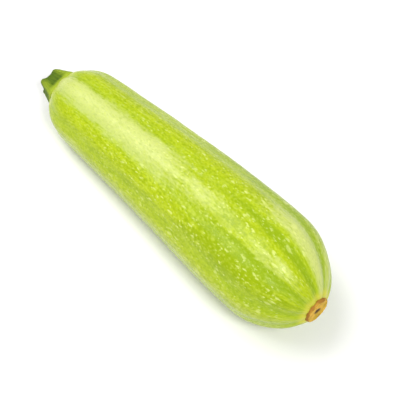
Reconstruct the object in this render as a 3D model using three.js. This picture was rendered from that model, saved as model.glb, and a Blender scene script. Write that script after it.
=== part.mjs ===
// A light green summer squash (zucchini), as picked: the whole fruit with its cut stem and the
// corky scar that the blossom left. Millimetres, +Z up. It lies on its side on the surface z = 0,
// with its stem towards -X, its blossom end towards +X and its gentle bend bulging towards +Y.
//
// Each piece is lofted through rings of points. A point is found by its place along the fruit's
// straight axis and its angle round that axis, counted from the top towards +Y. Then the axis is
// bent sideways and tilted, because a tapered fruit lies on its flank and not on its axis.

import * as THREE from "three";

// Fruit. Places along it are fractions of its length, counted from the stem end.
const FRUIT_LENGTH = 195;
const NECK_DIAMETER = 40.3;
const BELLY_DIAMETER = 60.8;
const TAPER_END = 0.684;
const TAPER_BLEND = 0.042;
const STEM_SHOULDER = 0.114;
const STEM_SHOULDER_POWER = 1.95;
const BLOSSOM_SHOULDER = 0.812;
const BLOSSOM_SHOULDER_POWER = 1.88;
const BEND_HEIGHT = 2.2;

// Soft ribs, with their grooves an even angle apart. They are deepest at the blossom end.
const RIBS = 10;
const FIRST_GROOVE_DEG = 9;
const GROOVE_DEPTH_AT_STEM = 0.45;
const GROOVE_DEPTH_AT_BLOSSOM = 0.9;
const GROOVE_SHARPNESS = 1.6;

// The fruit's own weight presses a narrow flat strip where it lies.
const FLATTENED = 0.7;

// Stem: a short ridged stub on a wider foot, cut a little aslant.
const STEM_LENGTH = 10.5;
const STEM_FOOT_RADIUS = 12.4;
const STEM_CUT_RADIUS = 7.8;
const STEM_FLARE_POWER = 0.9;
const STEM_RIDGES = 5;
const STEM_RIDGE_HEIGHT_AT_FOOT = 0.4;
const STEM_RIDGE_HEIGHT_AT_CUT = 0.9;
const STEM_RIDGE_DEG = -50;
const STEM_CUT_SLANT = 1.3;
const STEM_NOD = 1.4;
const STEM_EDGE_ROUNDING = 0.5;

// Blossom scar: a thin corky disc with a raised uneven rim and a pit in the middle.
const SCAR_RADIUS = 7.8;
const SCAR_THICKNESS = 1.7;
const SCAR_RIM_WIDTH = 1.5;
const SCAR_FACE_DEPTH = 0.5;
const SCAR_PIT_RADIUS = 1.5;
const SCAR_PIT_DEPTH = 0.9;

// Flat seats on the fruit's two ends, and the gap kept between pieces that touch.
const STEM_SEAT_RADIUS = 12.4;
const SCAR_SEAT_RADIUS = 7.4;
const CONTACT_GAP = 0.3;

// Mesh fineness.
const FRUIT_SEGMENTS = 80;
const FRUIT_RINGS = 36;
const STEM_SEGMENTS = 40;
const STEM_RINGS = 8;
const SCAR_SEGMENTS = 36;

const DEG = Math.PI / 180;

// 1 along the body and 0 at the tip: the quarter of a superellipse that rounds an end off.
function shoulder(fraction, power) {
  if (fraction <= 0) return 1;
  if (fraction >= 1) return 0;
  return (1 - fraction ** power) ** (1 / power);
}

// Radius of the fruit without its ribs: a straight taper that levels off, rounded at both ends.
function bodyRadius(place) {
  const pastTaper = TAPER_BLEND * Math.log1p(Math.exp((place - TAPER_END) / TAPER_BLEND));
  const grown = (place - pastTaper) / TAPER_END;
  const diameter = NECK_DIAMETER + (BELLY_DIAMETER - NECK_DIAMETER) * grown;
  const atStem = shoulder(1 - place / STEM_SHOULDER, STEM_SHOULDER_POWER);
  const intoBlossomEnd = (place - BLOSSOM_SHOULDER) / (1 - BLOSSOM_SHOULDER);
  return (diameter / 2) * atStem * shoulder(intoBlossomEnd, BLOSSOM_SHOULDER_POWER);
}

// The place between a thin end and a thicker place where the body reaches the wanted radius.
function placeOfRadius(wanted, thinPlace, thickPlace) {
  let thin = thinPlace;
  let thick = thickPlace;
  for (let step = 0; step < 40; step += 1) {
    const middle = (thin + thick) / 2;
    if (bodyRadius(middle) < wanted) thin = middle;
    else thick = middle;
  }
  return (thin + thick) / 2;
}

function ribbedRadius(place, angle) {
  const wave = (1 + Math.cos(RIBS * (angle - FIRST_GROOVE_DEG * DEG))) / 2;
  const depth = THREE.MathUtils.lerp(GROOVE_DEPTH_AT_STEM, GROOVE_DEPTH_AT_BLOSSOM, place);
  return bodyRadius(place) - depth * wave ** GROOVE_SHARPNESS;
}

// How far the taper tilts the fruit when its flank lies flat.
const restTilt = Math.atan((BELLY_DIAMETER - NECK_DIAMETER) / 2 / (TAPER_END * FRUIT_LENGTH));

// From a place along the straight axis and an offset from it, to the fruit as it lies.
function laid(along, sideways, upwards) {
  const fromMiddle = along - FRUIT_LENGTH / 2;
  const bend = BEND_HEIGHT * (1 - (fromMiddle / (FRUIT_LENGTH / 2)) ** 2);
  return new THREE.Vector3(
    fromMiddle * Math.cos(restTilt) - upwards * Math.sin(restTilt),
    sideways + bend,
    fromMiddle * Math.sin(restTilt) + upwards * Math.cos(restTilt),
  );
}

// A ring of points round the axis: radiusAt and alongAt give each point from its angle.
function ring(segments, radiusAt, alongAt, drop = 0) {
  const points = [];
  for (let index = 0; index < segments; index += 1) {
    const angle = (index / segments) * 2 * Math.PI;
    const radius = radiusAt(angle);
    points.push(laid(alongAt(angle), radius * Math.sin(angle), radius * Math.cos(angle) - drop));
  }
  return points;
}

// A closed body through rings that follow one another towards +X, with a fan over each end.
function loft(rings) {
  const segments = rings[0].length;
  const last = (rings.length - 1) * segments;
  const points = rings.flat();
  const startCentre = points.length;
  const endCentre = startCentre + 1;
  for (const endRing of [rings[0], rings[rings.length - 1]]) {
    const centre = new THREE.Vector3();
    endRing.forEach((point) => centre.add(point));
    points.push(centre.divideScalar(segments));
  }
  const faces = [];
  for (let index = 0; index < segments; index += 1) {
    const next = (index + 1) % segments;
    for (let start = 0; start < last; start += segments) {
      const ahead = start + segments;
      faces.push(start + index, ahead + index, start + next);
      faces.push(start + next, ahead + index, ahead + next);
    }
    faces.push(startCentre, index, next);
    faces.push(endCentre, last + next, last + index);
  }
  const geometry = new THREE.BufferGeometry().setFromPoints(points);
  geometry.setIndex(faces);
  geometry.computeVertexNormals();
  return geometry;
}

function namedMesh(name, geometry, color, roughness) {
  const mesh = new THREE.Mesh(
    geometry,
    new THREE.MeshStandardMaterial({ color, roughness, metalness: 0 }),
  );
  mesh.name = name;
  return mesh;
}

const stemSeat = placeOfRadius(STEM_SEAT_RADIUS, 0, STEM_SHOULDER);
const scarSeat = placeOfRadius(SCAR_SEAT_RADIUS, 1, BLOSSOM_SHOULDER);

// Rings stand closer together towards the two rounded ends.
function makeFruit() {
  const firstTurn = Math.acos(1 - 2 * stemSeat);
  const lastTurn = Math.acos(1 - 2 * scarSeat);
  const rings = [];
  for (let index = 0; index < FRUIT_RINGS; index += 1) {
    const turn = THREE.MathUtils.lerp(firstTurn, lastTurn, index / (FRUIT_RINGS - 1));
    const place = (1 - Math.cos(turn)) / 2;
    rings.push(ring(FRUIT_SEGMENTS, (angle) => ribbedRadius(place, angle), () => place * FRUIT_LENGTH));
  }
  return loft(rings);
}

// Ridges are rounded and the flutes between them hollow. They fade towards the foot.
function makeStem() {
  const foot = stemSeat * FRUIT_LENGTH - CONTACT_GAP;
  const rings = [];
  for (let index = 0; index <= STEM_RINGS; index += 1) {
    const up = 1 - index / STEM_RINGS;
    const mean = THREE.MathUtils.lerp(STEM_CUT_RADIUS, STEM_FOOT_RADIUS, (1 - up) ** STEM_FLARE_POWER);
    const ridgeHeight = THREE.MathUtils.lerp(STEM_RIDGE_HEIGHT_AT_FOOT, STEM_RIDGE_HEIGHT_AT_CUT, up);
    const alongAt = (angle) =>
      foot - up * (STEM_LENGTH + STEM_CUT_SLANT * Math.cos(angle - STEM_RIDGE_DEG * DEG));
    const radiusAt = (angle) =>
      mean + ridgeHeight * Math.cos(STEM_RIDGES * (angle - STEM_RIDGE_DEG * DEG));
    rings.push(ring(STEM_SEGMENTS, radiusAt, alongAt, STEM_NOD * up ** 2));
    if (index === 0) {
      const inner = (angle) => radiusAt(angle) - STEM_EDGE_ROUNDING;
      const outer = (angle) => alongAt(angle) - STEM_EDGE_ROUNDING;
      rings.unshift(ring(STEM_SEGMENTS, inner, outer, STEM_NOD));
    }
  }
  return loft(rings);
}

// The section of the disc, from the middle of its back round the rim to the foot of the pit.
function makeScar() {
  const back = scarSeat * FRUIT_LENGTH + CONTACT_GAP;
  const face = SCAR_THICKNESS - SCAR_FACE_DEPTH;
  const section = [
    [SCAR_RADIUS - 0.5, 0],
    [SCAR_RADIUS, SCAR_THICKNESS * 0.35],
    [SCAR_RADIUS - 0.1, SCAR_THICKNESS * 0.75],
    [SCAR_RADIUS - SCAR_RIM_WIDTH / 2, SCAR_THICKNESS],
    [SCAR_RADIUS - SCAR_RIM_WIDTH, face],
    [SCAR_PIT_RADIUS + 0.8, face],
    [SCAR_PIT_RADIUS, face - SCAR_PIT_DEPTH / 2],
    [SCAR_PIT_RADIUS / 2, face - SCAR_PIT_DEPTH],
  ];
  const uneven = (angle) => 1 + 0.04 * Math.cos(3 * angle + 1) + 0.03 * Math.cos(5 * angle);
  return loft(
    section.map(([radius, height]) =>
      ring(SCAR_SEGMENTS, (angle) => radius * uneven(angle), () => back + height)),
  );
}

// Sets the pieces down so that the fruit's lowest flank sinks by FLATTENED, flattens that flank
// into a strip at z = 0, and puts the origin under the middle of the whole.
function setDown(meshes) {
  const fruit = meshes[0];
  fruit.geometry.computeBoundingBox();
  const drop = -fruit.geometry.boundingBox.min.z - FLATTENED;
  for (const mesh of meshes) mesh.geometry.translate(0, 0, drop);
  const positions = fruit.geometry.attributes.position;
  for (let index = 0; index < positions.count; index += 1) {
    positions.setZ(index, Math.max(0, positions.getZ(index)));
  }
  const box = new THREE.Box3();
  for (const mesh of meshes) {
    mesh.geometry.computeBoundingBox();
    box.union(mesh.geometry.boundingBox);
  }
  const centre = box.getCenter(new THREE.Vector3());
  for (const mesh of meshes) mesh.geometry.translate(-centre.x, -centre.y, 0);
}

const pieces = [
  namedMesh("fruit", makeFruit(), 0xbdd43c, 0.38),
  namedMesh("stem", makeStem(), 0x7f9a1c, 0.6),
  namedMesh("blossom_scar", makeScar(), 0xb98430, 0.8),
];
setDown(pieces);

const zucchini = new THREE.Group();
zucchini.add(...pieces);

export default zucchini;
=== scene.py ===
# %% [markdown]
# # A light green zucchini
# The object is a whole summer squash, as picked: a tapered, softly ribbed fruit, a short stub of
# ridged stalk at its thin end, and a dry corky scar at its thick end, where the flower fell off.
# This lesson models the three pieces from drawn circles, gives each its finish, and lights them
# softly on a pale floor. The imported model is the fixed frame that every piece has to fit.

# %% Load the frame
import math

import bpy
from mathutils import Matrix, Vector


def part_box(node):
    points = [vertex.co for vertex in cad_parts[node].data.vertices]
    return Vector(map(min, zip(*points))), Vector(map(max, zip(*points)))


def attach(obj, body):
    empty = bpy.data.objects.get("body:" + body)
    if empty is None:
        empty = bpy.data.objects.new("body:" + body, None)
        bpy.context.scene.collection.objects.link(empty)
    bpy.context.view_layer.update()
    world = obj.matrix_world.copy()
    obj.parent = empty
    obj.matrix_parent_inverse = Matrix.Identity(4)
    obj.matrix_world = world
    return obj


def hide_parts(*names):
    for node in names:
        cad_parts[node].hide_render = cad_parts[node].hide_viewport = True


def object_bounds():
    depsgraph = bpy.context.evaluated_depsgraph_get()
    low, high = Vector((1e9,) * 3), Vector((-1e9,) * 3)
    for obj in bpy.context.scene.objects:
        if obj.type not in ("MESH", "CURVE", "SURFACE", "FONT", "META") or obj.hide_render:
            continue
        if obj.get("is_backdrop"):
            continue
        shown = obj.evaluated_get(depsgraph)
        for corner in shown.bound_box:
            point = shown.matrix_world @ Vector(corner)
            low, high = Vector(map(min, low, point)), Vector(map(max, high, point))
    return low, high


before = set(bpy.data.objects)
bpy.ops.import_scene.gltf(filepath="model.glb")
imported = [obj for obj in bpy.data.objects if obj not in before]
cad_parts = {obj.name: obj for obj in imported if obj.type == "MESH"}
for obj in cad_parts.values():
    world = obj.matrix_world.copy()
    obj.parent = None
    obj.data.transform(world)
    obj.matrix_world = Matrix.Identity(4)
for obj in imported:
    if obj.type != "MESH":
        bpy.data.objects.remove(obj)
cad_low, cad_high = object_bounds()
fruit_low, fruit_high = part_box("fruit")
MM = 0.001
DEG = math.pi / 180
print("Fruit in the frame, mm:", [round(side / MM, 1) for side in fruit_high - fruit_low])

# %% [markdown]
# ## The camera
# The camera looks down on the blossom end from the front right, with a long lens, so that the
# fruit runs across the picture and its thick end comes forward. It is moved a little aside
# without turning, because the object lies left of and above the middle of the picture.

# %% Camera
CAMERA_AZIMUTH = 45.75 * DEG
CAMERA_ELEVATION = 63.9 * DEG
CAMERA_DISTANCE = 0.8
CAMERA_LENS = 137.7
AIM_RIGHT = 0.0102
AIM_DOWN = 0.0084

centre = (cad_low + cad_high) / 2
to_camera = Vector(
    (
        math.sin(CAMERA_AZIMUTH) * math.cos(CAMERA_ELEVATION),
        -math.cos(CAMERA_AZIMUTH) * math.cos(CAMERA_ELEVATION),
        math.sin(CAMERA_ELEVATION),
    )
)
camera_right = Vector((math.cos(CAMERA_AZIMUTH), math.sin(CAMERA_AZIMUTH), 0))
camera_up = to_camera.cross(camera_right)
aim = centre + camera_right * AIM_RIGHT - camera_up * AIM_DOWN
camera_place = aim + to_camera * CAMERA_DISTANCE

bpy.ops.object.camera_add(location=camera_place)
camera = bpy.context.object
camera.name = "camera"
camera.data.lens = CAMERA_LENS
camera.rotation_euler = to_camera.to_track_quat("Z", "Y").to_euler()
bpy.context.scene.camera = camera
print("Camera", round((camera_place - centre).length, 3), "m from the middle")

# %% [markdown]
# ## The floor
# Food like this is shown on a white table. A sheet of paper does: it has no gloss, so it shows the
# soft shadow and nothing else. It is made large, so that its edge is never in sight.

# %% Matt white paper floor
FLOOR_SIZE = 6


def linear(hex_colour):
    """An sRGB hex colour as linear red, green, blue and alpha."""
    channels = [int(hex_colour[start : start + 2], 16) / 255 for start in (1, 3, 5)]
    return [c / 12.92 if c <= 0.04045 else ((c + 0.055) / 1.055) ** 2.4 for c in channels] + [1]


bpy.ops.mesh.primitive_plane_add(size=FLOOR_SIZE, location=(0, 0, 0))
floor = bpy.context.object
floor.name = "floor"
# Matt paper gives an even, almost white ground, with no reflection of the fruit.
paper = bpy.data.materials.new("matt white paper")
paper.use_nodes = True
paper_shader = paper.node_tree.nodes["Principled BSDF"]
paper_shader.inputs["Base Color"].default_value = linear("#f4f4f4")
paper_shader.inputs["Roughness"].default_value = 0.9
floor.data.materials.append(paper)
floor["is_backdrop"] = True
print("Floor", FLOOR_SIZE, "m wide")

# %% [markdown]
# ## The light
# A wide soft light hangs overhead, a smaller one leaves a window-like gleam on the thick end, and
# a bright surround fills the shadows. One large sun would be simpler, but it would draw a hard
# shadow and a small sharp gleam. Standard colour keeps the greens as fresh as they are painted.

# %% Surround and softboxes
SURROUND_STRENGTH = 0.5

surround = bpy.data.worlds.new("white surround")
surround.use_nodes = True
surround_light = surround.node_tree.nodes["Background"]
surround_light.inputs["Color"].default_value = linear("#ffffff")
surround_light.inputs["Strength"].default_value = SURROUND_STRENGTH
bpy.context.scene.world = surround
bpy.context.scene.view_settings.view_transform = "Standard"


def add_softbox(name, place, size, watts):
    """A square lamp that faces the middle of the fruit."""
    bpy.ops.object.light_add(type="AREA", location=place)
    lamp = bpy.context.object
    lamp.name = name
    lamp.data.size = size
    lamp.data.energy = watts
    lamp.rotation_euler = (centre - Vector(place)).to_track_quat("-Z", "Y").to_euler()
    print(name, size, "m wide,", round((centre - Vector(place)).length, 2), "m away")


add_softbox("overhead softbox", (-0.55, -0.2, 1.25), 0.85, 12)
add_softbox("window softbox", (0.6, -0.15, 1.08), 0.3, 7)

# %% [markdown]
# ## The fruit's profile
# A zucchini swells from a thin neck to a belly near the blossom end, and both ends round off like
# a superellipse. Drawing the profile as one formula keeps the curve fair; points drawn one by one
# would leave bumps in the gloss. A place along the fruit runs from 0 at the stem to 1.

# %% The fruit's profile
FRUIT_LENGTH = 195 * MM
NECK_DIAMETER = 40.3 * MM
BELLY_DIAMETER = 60.8 * MM
TAPER_END = 0.684
TAPER_BLEND = 0.042
STEM_SHOULDER = 0.114
STEM_SHOULDER_POWER = 1.95
BLOSSOM_SHOULDER = 0.812
BLOSSOM_SHOULDER_POWER = 1.88


def shoulder(fraction, power):
    """1 along the body and 0 at the tip."""
    return (1 - min(1, max(0, fraction)) ** power) ** (1 / power)


def body_radius(place):
    """Radius of the fruit without its ribs."""
    past_taper = TAPER_BLEND * math.log1p(math.exp((place - TAPER_END) / TAPER_BLEND))
    grown = (place - past_taper) / TAPER_END
    diameter = NECK_DIAMETER + (BELLY_DIAMETER - NECK_DIAMETER) * grown
    at_stem = shoulder(1 - place / STEM_SHOULDER, STEM_SHOULDER_POWER)
    into_blossom_end = (place - BLOSSOM_SHOULDER) / (1 - BLOSSOM_SHOULDER)
    return diameter / 2 * at_stem * shoulder(into_blossom_end, BLOSSOM_SHOULDER_POWER)


def station_of_radius(wanted, thin, thick):
    """X where the body, between a thin and a thick place, first has the wanted radius."""
    for halving in range(40):
        middle = (thin + thick) / 2
        if body_radius(middle) < wanted:
            thin = middle
        else:
            thick = middle
    return ((thin + thick) / 2 - 0.5) * FRUIT_LENGTH


for place in (STEM_SHOULDER, 0.4, TAPER_END, BLOSSOM_SHOULDER):
    print("At place", place, "the fruit is", round(2 * body_radius(place) / MM, 1), "mm across")

# %% [markdown]
# ## Drawing a round piece by hand
# All three pieces are round bodies that change as they grow along one line. Each starts as a
# circle, and is extruded from station to station with every new ring scaled to its radius. That
# is how it would be drawn at the keyboard, and it leaves clean rings for the ribs to follow. The
# fruit's rings stand closer together towards its rounded ends, and subdivision rounds it off.

# %% Draw the fruit, straight and round
FRUIT_SEGMENTS = 80
FRUIT_RINGS = 52
STEM_SEAT_RADIUS = 11.2 * MM
SCAR_SEAT_RADIUS = 7.2 * MM


def draw_round(name, segments, stations):
    """A closed body round the X axis, through stations of place along X and radius."""
    bpy.ops.object.select_all(action="DESELECT")
    place, radius = stations[0]
    bpy.ops.mesh.primitive_circle_add(
        vertices=segments,
        radius=radius,
        fill_type="NGON",
        location=(place, 0, 0),
        rotation=(0, math.pi / 2, 0),
    )
    piece = bpy.context.object
    piece.name = name
    bpy.ops.object.transform_apply(location=True, rotation=True, scale=True)
    bpy.ops.object.mode_set(mode="EDIT")
    bpy.ops.mesh.select_all(action="SELECT")
    for next_place, next_radius in stations[1:]:
        bpy.ops.mesh.extrude_region_move(
            TRANSFORM_OT_translate={"value": (next_place - place, 0, 0)}
        )
        scale = next_radius / radius
        bpy.ops.transform.resize(value=(1, scale, scale), center_override=(next_place, 0, 0))
        place, radius = next_place, next_radius
    bpy.ops.mesh.select_all(action="SELECT")
    bpy.ops.mesh.normals_make_consistent(inside=False)
    bpy.ops.object.mode_set(mode="OBJECT")
    return piece


def apply_modifier(piece, kind, **settings):
    """Adds a modifier with its settings and applies it."""
    modifier = piece.modifiers.new(kind.lower(), kind)
    for setting, value in settings.items():
        setattr(modifier, setting, value)
    bpy.context.view_layer.objects.active = piece
    bpy.ops.object.modifier_apply(modifier=modifier.name)


first_station = station_of_radius(STEM_SEAT_RADIUS, 0, STEM_SHOULDER)
last_station = station_of_radius(SCAR_SEAT_RADIUS, 1, BLOSSOM_SHOULDER)
first_turn = math.acos(-2 * first_station / FRUIT_LENGTH)
last_turn = math.acos(-2 * last_station / FRUIT_LENGTH)
fruit_stations = []
for index in range(FRUIT_RINGS):
    turn = first_turn + (last_turn - first_turn) * index / (FRUIT_RINGS - 1)
    place = (1 - math.cos(turn)) / 2
    fruit_stations.append(((place - 0.5) * FRUIT_LENGTH, body_radius(place)))
fruit = draw_round("zucchini_fruit", FRUIT_SEGMENTS, fruit_stations)
apply_modifier(fruit, "SUBSURF", levels=2, render_levels=2)
print("Fruit drawn with", len(fruit.data.polygons), "faces")

# %% [markdown]
# ## Ribs and grooves
# Ten soft ribs run along the fruit. The grooves between them are shallow, under a millimetre, and
# deepest on the thick end; they fade again where they run into the scar. They are painted as a
# vertex group and pressed in with a Displace modifier, which is quicker and more even than
# scaling every line of points.

# %% Press in the grooves
RIBS = 10
FIRST_GROOVE = 9
GROOVE_DEPTH_AT_STEM = 0.45 * MM
GROOVE_DEPTH_AT_BLOSSOM = 0.9 * MM
GROOVE_SHARPNESS = 1.6
FAINT_RADIUS = 6 * MM
FULL_RADIUS = 12 * MM
FAINT_SHARE = 0.35


def smooth_step(low, high, value):
    """0 below low, 1 above high and an even rise between them."""
    share = min(1, max(0, (value - low) / (high - low)))
    return share * share * (3 - 2 * share)


def angle_round(point):
    """Degrees round the X axis, from the top towards +Y."""
    return math.atan2(point.y, point.z) / DEG


def radius_round(point):
    """Distance from the X axis."""
    return math.hypot(point.y, point.z)


def place_along(point):
    """0 at the stem end of the fruit and 1 at its blossom end."""
    return point.x / FRUIT_LENGTH + 0.5


def groove_share(point):
    """1 at the bottom of a groove and 0 on the crown of a rib."""
    wave = (1 + math.cos(RIBS * (angle_round(point) - FIRST_GROOVE) * DEG)) / 2
    return wave**GROOVE_SHARPNESS


def press_weight(point):
    """How far a point is pressed in, as a share of the deepest groove."""
    deepening = (GROOVE_DEPTH_AT_BLOSSOM - GROOVE_DEPTH_AT_STEM) * place_along(point)
    depth = (GROOVE_DEPTH_AT_STEM + deepening) / GROOVE_DEPTH_AT_BLOSSOM
    clear_of_ends = smooth_step(FAINT_RADIUS, FULL_RADIUS, radius_round(point))
    return groove_share(point) * depth * (FAINT_SHARE + (1 - FAINT_SHARE) * clear_of_ends)


grooves = fruit.vertex_groups.new(name="grooves")
for vertex in fruit.data.vertices:
    grooves.add([vertex.index], press_weight(vertex.co), "REPLACE")
apply_modifier(
    fruit,
    "DISPLACE",
    strength=-GROOVE_DEPTH_AT_BLOSSOM,
    mid_level=0,
    vertex_group="grooves",
)
print("Pressed in", RIBS, "grooves, up to", round(GROOVE_DEPTH_AT_BLOSSOM / MM, 2), "mm deep")

# %% [markdown]
# ## An uneven skin
# A grown surface is never quite even. A slow cloud pattern gives the long body its gentle dents,
# and a finer one breaks up the edge of the gloss. Modelled, they also show in the outline, which a
# bump map would leave smooth.

# %% Swell the skin
def swell(piece, size, height):
    """Raises and lowers the surface by a cloud pattern of the given size."""
    clouds = bpy.data.textures.new(piece.name + " clouds", "CLOUDS")
    clouds.noise_scale = size
    apply_modifier(
        piece, "DISPLACE", texture=clouds, strength=height, mid_level=0.5, texture_coords="LOCAL"
    )


swell(fruit, 32 * MM, 0.9 * MM)
swell(fruit, 5 * MM, 0.12 * MM)
print("Fruit is now", [round(side / MM, 1) for side in fruit.dimensions], "mm")

# %% [markdown]
# ## The bands of the skin, and painted light among them
# Pale and deep green bands run along the fruit, between and over the ribs, and start and end
# where they like. They are a list, counted round the fruit: the middle of the band in
# degrees from the top, its half width in degrees, the places where it starts and ends, and its
# strength. A pattern made by chance could not be laid where this fruit has its bands.

# %% List the bands
PALE_AND_PAINTED_LIGHT_BANDS = [
    # Partly the skin's pale band, partly painted sheen where the overhead softbox lights the top.
    (-13, 18, -0.2, 0.52, 0.95),
    (-13, 15, 0.4, 0.7, 0.45),
    (56, 14, -0.2, 0.42, 0.2),
    (31, 12, 0.74, 1.2, 0.95),
    # A painted highlight: a pale patch where the window softbox gleams on the thick end.
    (-14, 10, 0.8, 0.93, 0.5),
    (32, 12, -0.2, 0.35, 0.2),
    (62, 15, 0.92, 1.2, 0.9),
    # Partly a paler side of the skin, partly painted reflection of the pale surround.
    (-88, 15, -0.2, 1.2, 0.25),
    (99, 15, -0.2, 0.7, 0.6),
    (136, 14, 0.5, 1.2, 0.6),
    (171, 15, -0.2, 0.6, 0.6),
    (-153, 15, 0.45, 1.2, 0.7),
    (-118, 13, -0.2, 0.5, 0.4),
]
DEEP_AND_PAINTED_SHADE_BANDS = [
    (8, 8, 0.0, 0.4, 0.35),
    (8, 6, 0.7, 1.0, 0.9),
    (-27, 6, 0.7, 1.02, 1.0),
    (-42, 19, 0.6, 0.97, 0.85),
    # Painted shade: a darker patch that dims the overhead softbox's sheen on the top of the thick
    # half.
    (-8, 9, 0.62, 0.76, 0.45),
    # Partly the darker green band of the skin, partly a painted shadow of a neighbouring fruit.
    (-52, 14, 0.25, 0.6, 0.35),
    (54, 10, 0.5, 0.92, 0.7),
    (-62, 5, 0.2, 0.98, 0.25),
    (80, 9, 0.1, 0.95, 0.6),
    (117, 12, 0.3, 0.98, 0.5),
    (153, 8, 0.1, 0.97, 0.6),
    (-171, 9, 0.2, 0.98, 0.6),
    (-135, 12, 0.3, 0.97, 0.5),
    (-99, 7, 0.2, 1.0, 0.4),
]
BAND_FADE = 0.16
EDGE_STARTS = 0.5
EDGE_ENDS = 1.45


def band_strength(bands, point):
    """The strongest of the bands at a point, each fading at its sides and ends."""
    place = place_along(point)
    strongest = 0
    for middle, half_width, start, end, strength in bands:
        apart = abs((angle_round(point) - middle + 180) % 360 - 180)
        across = 1 - smooth_step(half_width * EDGE_STARTS, half_width * EDGE_ENDS, apart)
        fade = min(BAND_FADE, (end - start) / 2)
        begun = smooth_step(start - fade, start + fade, place)
        ended = smooth_step(end - fade, end + fade, place)
        strongest = max(strongest, strength * across * begun * (1 - ended))
    return strongest


print(len(PALE_AND_PAINTED_LIGHT_BANDS), "pale bands and", len(DEEP_AND_PAINTED_SHADE_BANDS), "deep ones")

# %% [markdown]
# ## Painting the markings while the fruit is straight
# The markings follow the skin and close up towards its ends, so they are easiest to paint now,
# before the fruit is bent. Every point keeps the strength of its bands, some of them painted
# light, of the painted shade in its grooves, and of its flecks and end tints as attributes, which
# the material reads later. Its place on the skin goes with them, as a point on an even tube, so
# that patterns get narrower where the fruit gets thinner.

# %% Paint the skin
SKIN_RADIUS = 30 * MM


def paint(piece, name, value_at, kind="FLOAT"):
    """Stores a value for every point of a piece, for its material to read."""
    layer = piece.data.attributes.new(name, kind, "POINT")
    key = "vector" if kind == "FLOAT_VECTOR" else "value"
    for vertex in piece.data.vertices:
        setattr(layer.data[vertex.index], key, value_at(vertex.co))


def skin_place(point):
    """The point's place on an even tube."""
    angle = angle_round(point) * DEG
    return (point.x, SKIN_RADIUS * math.sin(angle), SKIN_RADIUS * math.cos(angle))


def painted_groove_shade(point):
    """Painted shade in the grooves, drawn in more strongly on the thick end."""
    return groove_share(point) * (0.5 + 0.5 * smooth_step(0.6, 0.95, place_along(point)))


def fleck_tint(point):
    """Flecks are rare at the neck and end short of the scar."""
    place = place_along(point)
    return smooth_step(0.02, 0.45, place) * (1 - smooth_step(0.93, 0.99, place))


def stem_end_tint(point):
    """1 at the seat of the stem and 0 past the shoulder."""
    return (1 - smooth_step(11 * MM, 19 * MM, radius_round(point))) * (point.x < 0)


def blossom_end_tint(point):
    """1 at the rim of the scar and 0 a few millimetres from it."""
    return (1 - smooth_step(7.5 * MM, 14 * MM, radius_round(point))) * (point.x > 0)


paint(fruit, "skin_place", skin_place, "FLOAT_VECTOR")
paint(fruit, "pale", lambda point: band_strength(PALE_AND_PAINTED_LIGHT_BANDS, point))
paint(fruit, "deep", lambda point: band_strength(DEEP_AND_PAINTED_SHADE_BANDS, point))
paint(fruit, "groove", painted_groove_shade)
paint(fruit, "flecks", fleck_tint)
paint(fruit, "stem_end", stem_end_tint)
paint(fruit, "blossom_end", blossom_end_tint)
print("Painted", len(fruit.data.vertices), "points of the skin")

# %% [markdown]
# ## Bending the fruit and laying it down
# A fruit that grew on the ground is hardly ever straight. The bend is slight, so each point just
# moves sideways along a shallow arc, and keeps its place along the fruit. A tapered fruit lies on
# its flank: it is tilted until the flank is level, moved to its place in the frame, and pressed
# flat where it touches the floor.

# %% Bend, tilt and set down
BEND_HEIGHT = 2.2 * MM
REST_TILT = math.atan((BELLY_DIAMETER - NECK_DIAMETER) / 2 / (TAPER_END * FRUIT_LENGTH))
FLATTENED = 0.7 * MM
# The seat of the scar in the frame, and its radius at its lowest point, which reaches furthest.
FRAME_SEAT_RADIUS = 7.4 * MM
FRAME_SEAT_LOWEST = 7.1 * MM


def lay_down(piece):
    """Bends the straight axis sideways as a shallow arc and tilts it to its resting slope."""
    for vertex in piece.data.vertices:
        from_middle = vertex.co.x / (FRUIT_LENGTH / 2)
        vertex.co.y += BEND_HEIGHT * (1 - from_middle**2)
    piece.data.transform(Matrix.Rotation(-REST_TILT, 4, "Y"))


def corners(piece):
    """The lowest and the highest corner of a piece's box."""
    points = [vertex.co for vertex in piece.data.vertices]
    return Vector(map(min, *points)), Vector(map(max, *points))


lay_down(fruit)
low, high = corners(fruit)
scar_seat = station_of_radius(FRAME_SEAT_RADIUS, 1, BLOSSOM_SHOULDER)
seat_reach = scar_seat * math.cos(REST_TILT) + FRAME_SEAT_LOWEST * math.sin(REST_TILT)
shift = Vector(
    (
        fruit_high.x - seat_reach,
        (fruit_low.y + fruit_high.y - low.y - high.y) / 2,
        -low.z - FLATTENED,
    )
)
fruit.data.transform(Matrix.Translation(shift))
for vertex in fruit.data.vertices:
    vertex.co.z = max(0, vertex.co.z)
print("Fruit tilted by", round(REST_TILT / DEG, 2), "degrees")
print("Fruit shifted, mm:", [round(step / MM, 2) for step in shift])

# %% [markdown]
# ## The stem
# The stem of a zucchini is woody, with five ridges that run on into the fruit, and it spreads
# into a foot that the shoulder of the fruit swells up against. It is drawn from inside the fruit
# outwards, over its foot and along to the cut, and then inwards over the cut face, which sinks a
# little towards its dry core.

# %% Draw the stem
STEM_LENGTH = 10.5 * MM
STEM_FOOT_RADIUS = 12.4 * MM
STEM_CUT_RADIUS = 8.1 * MM
STEM_SPREAD = 1.15
STEM_INSIDE_FRUIT = 1.6 * MM
CUT_EDGE_ROUNDING = 0.4 * MM
RIDGE_HEIGHT_AT_FOOT = 0.5 * MM
RIDGE_HEIGHT_AT_CUT = 0.75 * MM
STEM_SEGMENTS = 60
STEM_RINGS = 10

stem_foot = station_of_radius(STEM_FOOT_RADIUS, 0, STEM_SHOULDER)
stem_cut = stem_foot - STEM_LENGTH


def ridge_height(up):
    """Ridges stand out further as they near the cut."""
    return RIDGE_HEIGHT_AT_FOOT + (RIDGE_HEIGHT_AT_CUT - RIDGE_HEIGHT_AT_FOOT) * up


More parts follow.
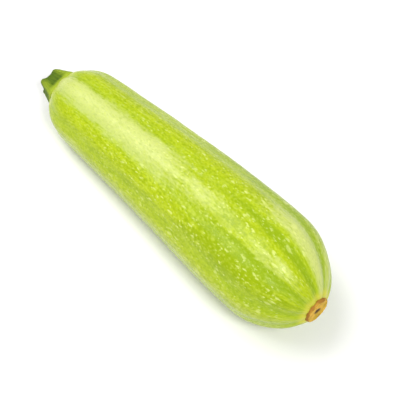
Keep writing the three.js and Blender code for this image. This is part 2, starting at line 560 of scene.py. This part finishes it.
stem_stations = [(stem_foot + STEM_INSIDE_FRUIT, STEM_SEAT_RADIUS)]
for index in range(STEM_RINGS + 1):
    up = index / STEM_RINGS
    radius = STEM_CUT_RADIUS + (STEM_FOOT_RADIUS - STEM_CUT_RADIUS) * (1 - up) ** STEM_SPREAD
    place = stem_foot - up * (STEM_LENGTH - CUT_EDGE_ROUNDING)
    stem_stations.append((place, radius - ridge_height(up)))
stem_stations += [
    (stem_cut, STEM_CUT_RADIUS - 1.6 * MM),
    (stem_cut, STEM_CUT_RADIUS - 2.4 * MM),
    (stem_cut + 0.3 * MM, STEM_CUT_RADIUS - 4.2 * MM),
    (stem_cut + 0.2 * MM, STEM_CUT_RADIUS - 6.2 * MM),
]
stem = draw_round("zucchini_stem", STEM_SEGMENTS, stem_stations)
apply_modifier(stem, "SUBSURF", levels=2, render_levels=2)
print("Stem drawn with", len(stem.data.polygons), "faces")

# %% [markdown]
# ## The ridges of the stem
# The ridges are raised the way the grooves were pressed in, with a vertex group and a Displace
# modifier. The cut face is kept out of it, because a knife leaves it flat. The stem is painted
# before it is raised, while every point is still easy to place.

# %% Raise and paint the ridges
STEM_RIDGES = 5
STEM_RIDGE_ANGLE = -50
RIDGE_SHARPNESS = 1.7
CUT_STARTS = 0.9


def up_stem(point):
    """0 at the foot of the stem and 1 at its cut."""
    return min(1, max(0, (stem_foot - point.x) / STEM_LENGTH))


def ridge_share(point):
    """1 on the crest of a ridge and 0 in the hollow between two."""
    wave = (1 + math.cos(STEM_RIDGES * (angle_round(point) - STEM_RIDGE_ANGLE) * DEG)) / 2
    return wave**RIDGE_SHARPNESS


def cut_share(point):
    """1 on the cut face of the stem and 0 on its sides."""
    inner, outer = STEM_CUT_RADIUS - 2.2 * MM, STEM_CUT_RADIUS - 1.2 * MM
    return (up_stem(point) > CUT_STARTS) * (1 - smooth_step(inner, outer, radius_round(point)))


ridges = stem.vertex_groups.new(name="ridges")
for vertex in stem.data.vertices:
    height = ridge_height(up_stem(vertex.co)) / RIDGE_HEIGHT_AT_CUT
    weight = ridge_share(vertex.co) * height * (1 - cut_share(vertex.co))
    ridges.add([vertex.index], weight, "REPLACE")
paint(stem, "skin_place", skin_place, "FLOAT_VECTOR")
paint(stem, "ridge", ridge_share)
paint(stem, "up", up_stem)
paint(stem, "cut", cut_share)
apply_modifier(
    stem,
    "DISPLACE",
    strength=2 * RIDGE_HEIGHT_AT_CUT,
    mid_level=0,
    vertex_group="ridges",
)
print("Raised", STEM_RIDGES, "ridges, up to", 2 * RIDGE_HEIGHT_AT_CUT / MM, "mm high")

# %% [markdown]
# ## The stem's crooked end
# The knife went through a little aslant, and the stub nods under its own weight. Each point is
# moved by its height up the stem, so that the foot stays where the fruit holds it.

# %% Slant, nod and lay down the stem
STEM_CUT_SLANT = 1.3 * MM
STEM_NOD = 1.4 * MM

swell(stem, 4 * MM, 0.5 * MM)
for vertex in stem.data.vertices:
    up = up_stem(vertex.co)
    slant = math.cos((angle_round(vertex.co) - STEM_RIDGE_ANGLE) * DEG)
    vertex.co.x -= STEM_CUT_SLANT * up * slant * radius_round(vertex.co) / STEM_CUT_RADIUS
    vertex.co.z -= STEM_NOD * up**2
lay_down(stem)
stem.data.transform(Matrix.Translation(shift))
low, high = corners(stem)
print("Stem is", [round(side / MM, 1) for side in high - low], "mm")

# %% [markdown]
# ## The blossom scar
# Where the flower dropped off, the fruit closes with a dry, corky disc: a raised uneven rim, a
# rough face a little lower, and a small pit in the middle. It is drawn as one section, from its
# back inside the fruit round the rim to the pit, and two cloud patterns make it ragged.

# %% Draw the scar
SCAR_RADIUS = 7.4 * MM
SCAR_THICKNESS = 1.45 * MM
SCAR_FACE_DEPTH = 0.5 * MM
SCAR_SEGMENTS = 64

scar_rim = scar_seat + SCAR_THICKNESS
scar_face = scar_rim - SCAR_FACE_DEPTH
scar_stations = [
    (scar_seat - 1.2 * MM, SCAR_RADIUS - 0.2 * MM),
    (scar_seat - 0.3 * MM, SCAR_RADIUS + 0.2 * MM),
    (scar_seat + SCAR_THICKNESS * 0.45, SCAR_RADIUS),
    (scar_seat + SCAR_THICKNESS * 0.95, SCAR_RADIUS - 0.35 * MM),
    (scar_rim, SCAR_RADIUS - 0.9 * MM),
    (scar_face, SCAR_RADIUS - 1.7 * MM),
    (scar_face - 0.1 * MM, SCAR_RADIUS - 3 * MM),
    (scar_face, SCAR_RADIUS - 4.2 * MM),
    (scar_face + 0.1 * MM, SCAR_RADIUS - 5.3 * MM),
    (scar_face - 0.25 * MM, SCAR_RADIUS - 6.1 * MM),
    (scar_face - 0.5 * MM, SCAR_RADIUS - 6.9 * MM),
]
scar = draw_round("zucchini_blossom_scar", SCAR_SEGMENTS, scar_stations)
apply_modifier(scar, "SUBSURF", levels=2, render_levels=2)
paint(scar, "across", lambda point: radius_round(point) / SCAR_RADIUS)
paint(scar, "skin_place", lambda point: tuple(point), "FLOAT_VECTOR")
swell(scar, 4 * MM, 0.9 * MM)
swell(scar, 1.3 * MM, 0.22 * MM)
lay_down(scar)
scar.data.transform(Matrix.Translation(shift))
print("Scar drawn with", len(scar.data.polygons), "faces")

# %% [markdown]
# ## Smooth shading and the frame
# Every piece is shaded smooth, because nothing on a fruit is faceted. It rides on the body of the
# frame and stands for its solid there, so its box is compared with that solid's box.

# %% Hand the pieces to the frame
for piece, node, slot in (
    (fruit, "fruit", "fruit_skin"),
    (stem, "stem", "stem_skin"),
    (scar, "blossom_scar", "scar_cork"),
):
    bpy.ops.object.select_all(action="DESELECT")
    piece.select_set(True)
    bpy.context.view_layer.objects.active = piece
    bpy.ops.object.shade_smooth()
    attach(piece, "root")
    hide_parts(node)
    node_low, node_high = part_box(node)
    low, high = corners(piece)
    under = [round(step / MM, 2) for step in node_low - low]
    over = [round(step / MM, 2) for step in high - node_high]
    print(node, "beyond its solid, mm:", under, over)

# %% [markdown]
# ## Starting a finish
# Each finish is a Principled shader fed by textures. A node is added with its settings and its
# inputs in one go. Patterns are soft noise, sized in real millimetres along and across the fruit,
# and colours are laid over one another as coats: a coat comes in as a pattern rises from low to
# high, up to its most, and only inside its zone.

# %% Add nodes, patterns and coats
def feed(finish, node, inputs):
    """Gives each input of a node its value, or links it from an output or a node's first one."""
    for key, source in inputs.items():
        if isinstance(source, bpy.types.Node):
            source = source.outputs[0]
        if isinstance(source, bpy.types.NodeSocket):
            finish.node_tree.links.new(source, node.inputs[key])
        else:
            node.inputs[key].default_value = source


def add_node(finish, kind, inputs=None, **settings):
    """Adds a shader node with its settings and links."""
    node = finish.node_tree.nodes.new("ShaderNode" + kind)
    for setting, value in settings.items():
        setattr(node, setting, value)
    feed(finish, node, inputs or {})
    return node


def start_finish(name, piece, painted_names):
    """A new finish on a piece: the material, its shader, its place and what was painted."""
    finish = bpy.data.materials.new(name)
    finish.use_nodes = True
    piece.data.materials.append(finish)
    place = add_node(finish, "Attribute", attribute_name="skin_place").outputs["Vector"]
    painted = {
        painted_name: add_node(finish, "Attribute", attribute_name=painted_name).outputs["Fac"]
        for painted_name in painted_names
    }
    return finish, finish.node_tree.nodes["Principled BSDF"], place, painted


def stretch(finish, place, along, across, shifted):
    """Places on the skin in units of a pattern's size in mm, along and across the fruit."""
    scale = (1 / (along * MM), 1 / (across * MM), 1 / (across * MM))
    inputs = {"Vector": place, "Location": (shifted, shifted, shifted), "Scale": scale}
    return add_node(finish, "Mapping", inputs)


def spread_patterns(finish, place, sizes):
    """Soft noise patterns; each size is along and across in mm, a detail and a shift."""
    patterns = {}
    for name, along, across, detail, shifted in sizes:
        stretched = stretch(finish, place, along, across, shifted)
        inputs = {"Vector": stretched, "Scale": 1, "Detail": detail}
        patterns[name] = add_node(finish, "TexNoise", inputs).outputs["Fac"]
    return patterns


def lay_coats(finish, ground, coats):
    """Lays coats over a ground; each is a pattern, its low, high and most, a zone, a colour."""
    colour = linear(ground)
    for pattern, low, high, most, zone, coat in coats:
        inputs = {"Value": pattern, "From Min": low, "From Max": high, "To Max": most}
        risen = add_node(finish, "MapRange", inputs, interpolation_type="SMOOTHSTEP")
        share = add_node(finish, "Math", {0: risen, 1: zone}, operation="MULTIPLY")
        inputs = {"Fac": share, "Color1": colour, "Color2": linear(coat)}
        colour = add_node(finish, "MixRGB", inputs)
    return colour


print("Ready to finish", [piece.name for piece in (fruit, stem, scar)])

# %% [markdown]
# ## Patterns of the fruit skin
# The skin of a light green zucchini is a thin waxy layer over pale flesh. Its colour is never
# flat: streaks a few millimetres wide run along the fruit, a mottle lies over them, and close up
# it has grain and pores. The pores are drawn twice as coarse as they are, or they would not show.

# %% Waxy fruit skin: its patterns
skin, skin_shader, skin_spot, painted = start_finish(
    "waxy light green zucchini skin",
    fruit,
    ("pale", "deep", "groove", "flecks", "stem_end", "blossom_end"),
)
skin_patterns = spread_patterns(
    skin,
    skin_spot,
    (
        ("streaks", 16, 2.6, 3, 0),
        ("mottle", 3.5, 2.2, 3, 0.3),
        ("grain", 1.7, 1.1, 3, 0.8),
        ("pores", 0.9, 0.8, 2, 0.5),
    ),
)
print("Skin patterns:", list(skin_patterns))

# %% [markdown]
# ## Bands with broken edges
# A real band has no clean edge: it frays into streaks and dots. The streaks and the mottle are
# added to the painted pale bands and taken from the deep ones, so that both break up along them.

# %% Break up the bands
STREAKS_BREAK = 1.2
MOTTLE_BREAKS = 0.9
BREAK_MIDDLE = 1.05

mottled = add_node(
    skin,
    "Math",
    {0: skin_patterns["mottle"], 1: MOTTLE_BREAKS, 2: -BREAK_MIDDLE},
    operation="MULTIPLY_ADD",
)
breaking = add_node(
    skin,
    "Math",
    {0: skin_patterns["streaks"], 1: STREAKS_BREAK, 2: mottled},
    operation="MULTIPLY_ADD",
)
pale_and_painted_light_broken = add_node(skin, "Math", {0: painted["pale"], 1: breaking}, operation="ADD")
deep_and_painted_shade_broken = add_node(skin, "Math", {0: painted["deep"], 1: breaking}, operation="SUBTRACT")
print("The streaks break a band by up to", STREAKS_BREAK, "and the mottle by", MOTTLE_BREAKS)

# %% [markdown]
# ## Flecks where the wax lifts
# Cream flecks lie in lines along the fruit, from specks of a millimetre or two to a few drops of
# eight. They could be painted one by one; cells of chance do it sooner. Each cell holds one oval
# fleck whose size is its own, and a noise bends the cells, so that no two flecks are the same.

# %% Scatter the flecks
LARGEST_FLECK = 0.36
FLECK_EDGE_OUTSIDE = -0.04
FLECK_EDGE_INSIDE = 0.16

fleck_coats = []
for along, across, fullness, most, shifted in (
    (2.6, 1.3, 0.9, 0.65, 0.2),
    (4.8, 2.2, 0.8, 0.65, 0.1),
    (8, 4.4, 0.3, 0.55, 0.4),
):
    flat = stretch(skin, skin_spot, along, across, shifted)
    waves = add_node(skin, "TexNoise", {"Vector": flat, "Scale": 1.6, "Detail": 2})
    bent = add_node(
        skin,
        "VectorMath",
        {0: waves.outputs["Color"], 1: (0.9, 0.9, 0.9), 2: flat},
        operation="MULTIPLY_ADD",
    )
    cells = add_node(skin, "TexVoronoi", {"Vector": bent, "Scale": 1, "Randomness": 1})
    chance = add_node(skin, "SeparateColor", {"Color": cells.outputs["Color"]})
    radius = add_node(
        skin,
        "MapRange",
        {"Value": chance.outputs["Red"], "From Min": 1 - fullness, "To Max": LARGEST_FLECK},
        interpolation_type="SMOOTHSTEP",
    )
    within = add_node(
        skin, "Math", {0: radius, 1: cells.outputs["Distance"]}, operation="SUBTRACT"
    )
    edges = (FLECK_EDGE_OUTSIDE, FLECK_EDGE_INSIDE)
    fleck_coats.append((within, *edges, most, painted["flecks"], "#dbe484"))
print("Scattered", len(fleck_coats), "sizes of fleck")

# %% [markdown]
# ## The colours of the skin
# The skin is a fresh yellow green. Deep and pale bands come first, with painted shade, shadow,
# sheen, highlight and reflection among them, then the mottle and the grain, dark and light, then
# the flecks and the painted shade in the grooves. The ends come last: both pale towards their
# seats, where the skin never turned fully green. Fewer coats would do from afar, but close up a
# skin with three greens looks printed.

# %% Lay the colours of the skin
pale_and_painted_light_share = add_node(
    skin,
    "MapRange",
    {"Value": pale_and_painted_light_broken, "From Min": 0.08, "From Max": 0.95},
    interpolation_type="SMOOTHSTEP",
)
# The dark grain is fainter on the pale bands.
off_pale = add_node(
    skin,
    "MapRange",
    {"Value": pale_and_painted_light_share, "To Min": 1, "To Max": 0.3},
    interpolation_type="SMOOTHSTEP",
)
skin_colour = lay_coats(
    skin,
    "#a6b90e",
    [
        (skin_patterns["streaks"], 0.35, 0.65, 1, 1, "#b2c418"),
        # The deep bands carry a painted shadow and painted shade besides the skin's darker green.
        (deep_and_painted_shade_broken, 0.2, 0.9, 1, 1, "#93aa02"),
        # The pale colour is whitened for a painted sheen; the pale bands also carry a painted
        # highlight and reflection.
        (pale_and_painted_light_broken, 0.08, 0.95, 1, 1, "#c8d278"),
        (skin_patterns["mottle"], 0.5, 0.75, 0.3, 1, "#88a200"),
        (skin_patterns["grain"], 0.48, 0.68, 0.6, off_pale, "#8aa302"),
        (skin_patterns["grain"], 0.48, 0.3, 0.42, 1, "#c9d75a"),
        *fleck_coats,
        # Painted shade in the grooves.
        (1, 0, 1, 0.38, painted["groove"], "#86a81a"),
        (painted["stem_end"], 0, 0.7, 0.6, 1, "#c2cc4c"),
        (painted["stem_end"], 0.75, 1, 1, 1, "#c6cc3c"),
        (painted["blossom_end"], 0.1, 0.9, 0.75, 1, "#d3cf45"),
    ],
)
print("The skin's colour takes", len(skin.node_tree.nodes), "nodes")

# %% [markdown]
# ## The wax on the skin
# The wax is thin and grown, not polished. It gives the eye a broad soft gleam with a broken edge,
# so its roughness follows the mottle. A little light goes under it into the pale flesh, which
# keeps the shaded side warm. The pores and the mottle stand out a fraction of a millimetre.

# %% Give the skin its wax
relief = add_node(
    skin,
    "Math",
    {0: skin_patterns["pores"], 1: 0.25, 2: skin_patterns["mottle"]},
    operation="MULTIPLY_ADD",
)
wax_roughness = add_node(
    skin,
    "MapRange",
    {
        "Value": skin_patterns["mottle"],
        "From Min": 0.3,
        "From Max": 0.7,
        "To Min": 0.22,
        "To Max": 0.38,
    },
    interpolation_type="SMOOTHSTEP",
)
bump = add_node(skin, "Bump", {"Height": relief, "Strength": 0.6, "Distance": 0.3 * MM})
feed(
    skin,
    skin_shader,
    {
        "Base Color": skin_colour,
        "Roughness": wax_roughness,
        "IOR": 1.42,
        "Specular IOR Level": 0.28,
        "Subsurface Weight": 0.08,
        "Subsurface Radius": (1.0, 1.2, 0.4),
        "Subsurface Scale": 2.5 * MM,
        "Normal": bump,
    },
)
print("Finished", fruit.name, "with", skin.name)

# %% [markdown]
# ## The skin of the stem
# The stem is woody and dry, with long fibres along it. To the eye it is matt: dark green in its
# hollows, lighter along its ridges, partly in their own colour and partly as a painted highlight,
# darkest near the cut where it has dried, and yellow green at its foot where it is still alive.
# The cut face shows pale fibres end on.

# %% Woody green stem
bark, bark_shader, bark_spot, painted = start_finish(
    "dry ridged green stem", stem, ("ridge", "up", "cut")
)
bark_patterns = spread_patterns(
    bark, bark_spot, (("fibres", 7, 1.1, 3, 0), ("spots", 1.6, 1.2, 3, 0.4))
)
fibres, spots = bark_patterns["fibres"], bark_patterns["spots"]
frayed = add_node(bark, "Math", {0: fibres, 1: 0.5}, operation="SUBTRACT")
crests_and_highlight = add_node(bark, "Math", {0: painted["ridge"], 1: frayed}, operation="ADD")
side_colour = lay_coats(
    bark,
    "#466000",
    [
        (fibres, 0.35, 0.65, 1, 1, "#607c02"),
        # The ridges are lighter partly in their own colour, partly as a painted highlight.
        (crests_and_highlight, 0.15, 1.15, 1, 1, "#93a820"),
        (spots, 0.55, 0.75, 0.4, 1, "#3f5608"),
        (painted["up"], 0.55, 1, 0.45, 1, "#425a0c"),
        (painted["up"], 0.24, 0, 1, 1, "#9db02c"),
    ],
)
cut_colour = lay_coats(bark, "#99a052", [(spots, 0.35, 0.65, 1, 1, "#bcc07a")])
bark_colour = add_node(
    bark, "MixRGB", {"Fac": painted["cut"], "Color1": side_colour, "Color2": cut_colour}
)
bump = add_node(bark, "Bump", {"Height": fibres, "Strength": 0.5, "Distance": 0.5 * MM})
feed(
    bark,
    bark_shader,
    {"Base Color": bark_colour, "Roughness": 0.7, "Specular IOR Level": 0.2, "Normal": bump},
)
print("Finished", stem.name, "with", bark.name)

# %% [markdown]
# ## The cork of the scar
# Cork is dead and dry, and takes no gleam at all. The eye sees an ochre face with darker crumbs,
# a browner rim where it tore from the flower, and a dark pit. One brown would make a button of it.

# %% Dry cork
cork, cork_shader, cork_spot, painted = start_finish("dry ochre cork", scar, ("across",))
cork_patterns = spread_patterns(
    cork, cork_spot, (("crumbs", 1.4, 1.4, 4, 0), ("patches", 4, 4, 2, 0.6))
)
crumbs, patches = cork_patterns["crumbs"], cork_patterns["patches"]
torn = add_node(
    cork, "Math", {0: patches, 1: 0.3, 2: painted["across"]}, operation="MULTIPLY_ADD"
)
cork_colour = lay_coats(
    cork,
    "#dcae34",
    [
        (patches, 0.4, 0.62, 1, 1, "#bf9c18"),
        (crumbs, 0.5, 0.75, 0.65, 1, "#8f6420"),
        (torn, 1.04, 1.16, 1, 1, "#9f6c1a"),
        (painted["across"], 0.36, 0.16, 1, 1, "#4c3310"),
    ],
)
bump = add_node(cork, "Bump", {"Height": crumbs, "Strength": 0.7, "Distance": 0.4 * MM})
feed(cork, cork_shader, {"Base Color": cork_colour, "Roughness": 0.8, "Normal": bump})
print("Finished", scar.name, "with", cork.name)

# %% [markdown]
# ## Check the size
# The shown pieces are held against the imported model's box, and how far they reach beyond it is
# printed.

# %% Print how far the pieces reach beyond the frame
low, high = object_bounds()
print("Beyond the frame, mm:", [round(step / MM, 2) for step in cad_low - low])
print("Beyond the frame, mm:", [round(step / MM, 2) for step in high - cad_high])
